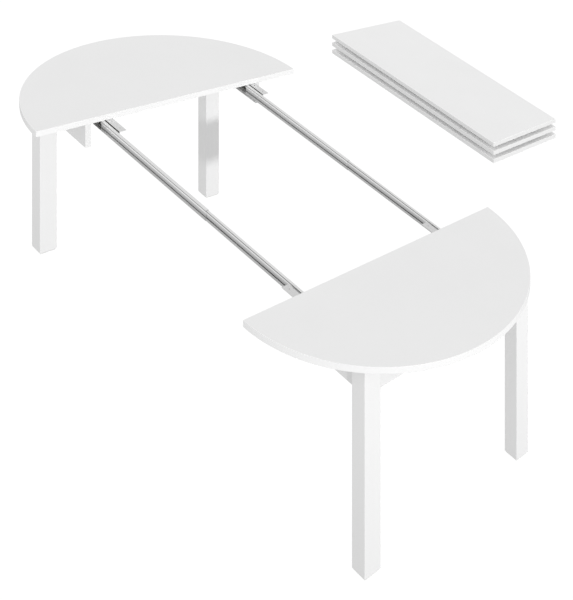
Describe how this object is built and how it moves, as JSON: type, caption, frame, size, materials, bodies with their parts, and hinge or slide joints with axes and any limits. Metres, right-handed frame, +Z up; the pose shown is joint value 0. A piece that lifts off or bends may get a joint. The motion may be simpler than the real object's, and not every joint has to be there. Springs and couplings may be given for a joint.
{
  "type": "extendable dining table",
  "caption": "Round extendable dining table shown drawn open: two half-round tops on square legs, telescopic steel rails between them and loose leaves stacked beside it.",
  "frame": {"origin": "on the floor, under the middle of the object's bounding box, leaf stack included; the table's own long axis runs at y = -0.315", "axes": "+X along the rails, the way the right half moves when the table is drawn open; +Y towards the leaf stack; +Z up"},
  "size_m": [2.256, 1.68, 0.83],
  "materials": {
    "top": "white painted board, satin",
    "leaf": "white painted board, satin",
    "leg": "white lacquered wood, satin",
    "apron": "white painted board, satin",
    "strip": "plain wood strip",
    "rail": "satin zinc plated sheet steel",
    "bracket": "zinc plated",
    "bolt": "zinc plated",
    "screw": "zinc plated",
    "glide": "moulded square pad"
  },
  "bodies": {
    "left_half": {"left_top": "top", "left_apron_end": "apron", "left_leg_front": "leg", "left_glide_front": "glide", "left_apron_front": "apron", "left_corner_plate_front": "bracket", "left_bolt_front": "bolt", "left_rail_front": "rail", "left_screw_front_1": "screw", "left_screw_front_2": "screw", "left_leg_back": "leg", "left_glide_back": "glide", "left_apron_back": "apron", "left_corner_plate_back": "bracket", "left_bolt_back": "bolt", "left_rail_back": "rail", "left_screw_back_1": "screw", "left_screw_back_2": "screw", "left_rail_stiffener": "bracket"},
    "right_half": {"right_top": "top", "right_apron_end": "apron", "right_leg_front": "leg", "right_glide_front": "glide", "right_apron_front": "apron", "right_corner_plate_front": "bracket", "right_bolt_front": "bolt", "right_rail_front": "rail", "right_screw_front_1": "screw", "right_screw_front_2": "screw", "right_leg_back": "leg", "right_glide_back": "glide", "right_apron_back": "apron", "right_corner_plate_back": "bracket", "right_bolt_back": "bolt", "right_rail_back": "rail", "right_screw_back_1": "screw", "right_screw_back_2": "screw"},
    "outer_slide_front": {"outer_slide_front": "rail"},
    "inner_slide_front": {"inner_slide_front": "rail"},
    "outer_slide_back": {"outer_slide_back": "rail"},
    "inner_slide_back": {"inner_slide_back": "rail"},
    "leaf_upper": {"leaf_upper": "leaf", "leaf_upper_strip_a": "strip", "leaf_upper_strip_b": "strip"},
    "leaf_middle": {"leaf_middle": "leaf", "leaf_middle_strip_a": "strip", "leaf_middle_strip_b": "strip"},
    "leaf_lower": {"leaf_lower": "leaf", "leaf_lower_strip_a": "strip", "leaf_lower_strip_b": "strip"}
  },
  "joints": [
    {"name": "right_half_slide", "type": "slide", "parent": "left_half", "child": "right_half", "axis": [1, 0, 0], "range_m": [-1.205, 0]},
    {"name": "outer_slide_front_slide", "type": "slide", "parent": "left_half", "child": "outer_slide_front", "axis": [1, 0, 0], "range_m": [-0.326, 0]},
    {"name": "inner_slide_front_slide", "type": "slide", "parent": "left_half", "child": "inner_slide_front", "axis": [1, 0, 0], "range_m": [-0.882, 0]},
    {"name": "outer_slide_back_slide", "type": "slide", "parent": "left_half", "child": "outer_slide_back", "axis": [1, 0, 0], "range_m": [-0.326, 0]},
    {"name": "inner_slide_back_slide", "type": "slide", "parent": "left_half", "child": "inner_slide_back", "axis": [1, 0, 0], "range_m": [-0.882, 0]},
    {"name": "leaf_upper_swing", "type": "hinge", "parent": "left_half", "child": "leaf_upper", "pos_m": [0.21875, 0.01975, 0.83], "axis": [0, 0, 1], "range_deg": [0, 90]},
    {"name": "leaf_middle_swing", "type": "hinge", "parent": "left_half", "child": "leaf_middle", "pos_m": [0.4195, 0.2205, 0.792], "axis": [0, 0, 1], "range_deg": [0, 90]},
    {"name": "leaf_lower_swing", "type": "hinge", "parent": "left_half", "child": "leaf_lower", "pos_m": [0.62025, 0.42125, 0.754], "axis": [0, 0, 1], "range_deg": [0, 90]}
  ],
  "couplings": [
    {"joint": "outer_slide_front_slide", "follows": "right_half_slide", "ratio": 0.2695},
    {"joint": "inner_slide_front_slide", "follows": "right_half_slide", "ratio": 0.7305},
    {"joint": "outer_slide_back_slide", "follows": "right_half_slide", "ratio": 0.2695},
    {"joint": "inner_slide_back_slide", "follows": "right_half_slide", "ratio": 0.7305}
  ]
}
